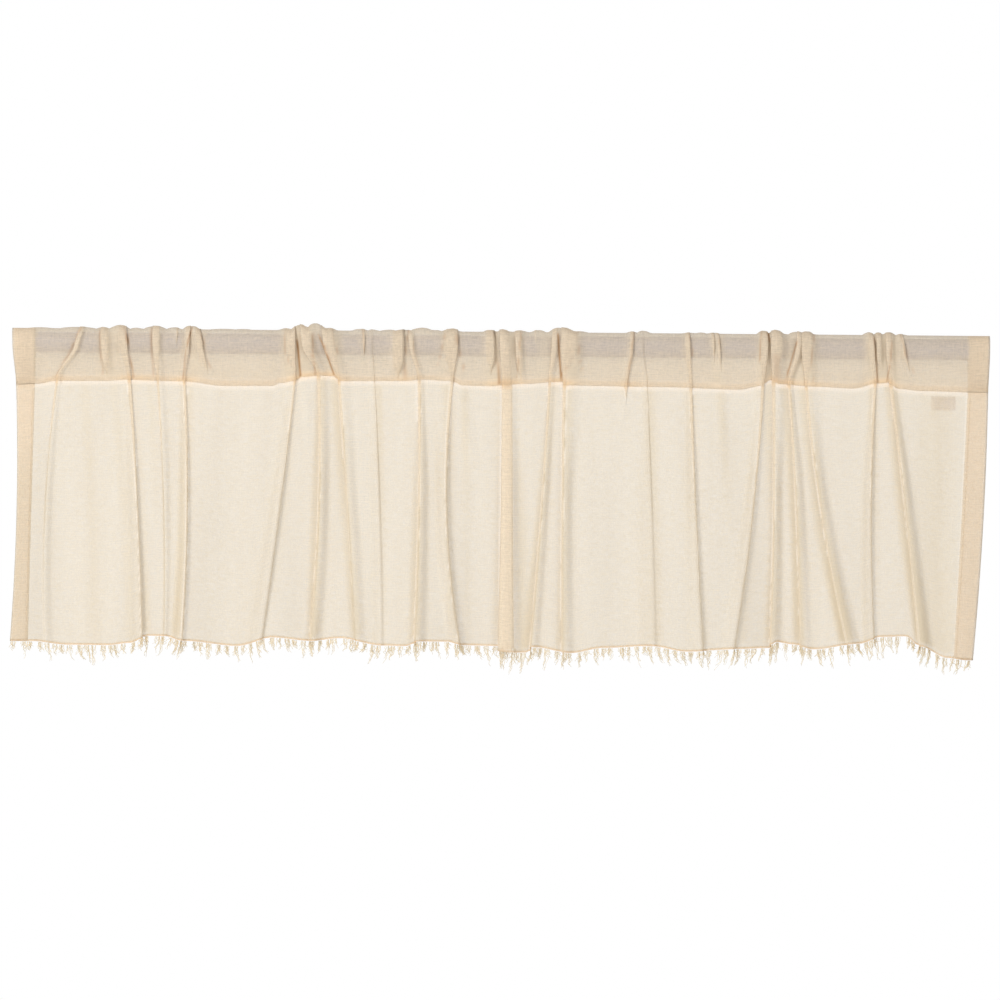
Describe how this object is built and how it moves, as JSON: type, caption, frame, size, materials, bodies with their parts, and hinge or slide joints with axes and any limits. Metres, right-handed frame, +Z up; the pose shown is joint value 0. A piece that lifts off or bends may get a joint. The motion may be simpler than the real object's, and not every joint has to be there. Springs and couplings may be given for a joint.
{
  "type": "window valance on a curtain rod",
  "caption": "Short sheer cotton valance with a rod pocket, gathered lightly on a plain round rod, with a frayed yarn fringe along its lower hem.",
  "frame": {"origin": "on the rod's axis, at the middle of its length", "axes": "+X along the rod, to the right as seen from the room; -Y towards the room; +Z up"},
  "size_m": [1.1921, 0.0415, 0.4331],
  "materials": {
    "cotton_gauze": "sheer plain weave, matte",
    "rod_metal": "satin",
    "yarn_fringe": "frayed cotton yarn",
    "label_tape": "blank woven tape"
  },
  "bodies": {
    "root": {"valance_cloth": "cotton_gauze", "curtain_rod": "rod_metal", "hem_fringe": "yarn_fringe", "care_label": "label_tape"}
  },
  "joints": []
}
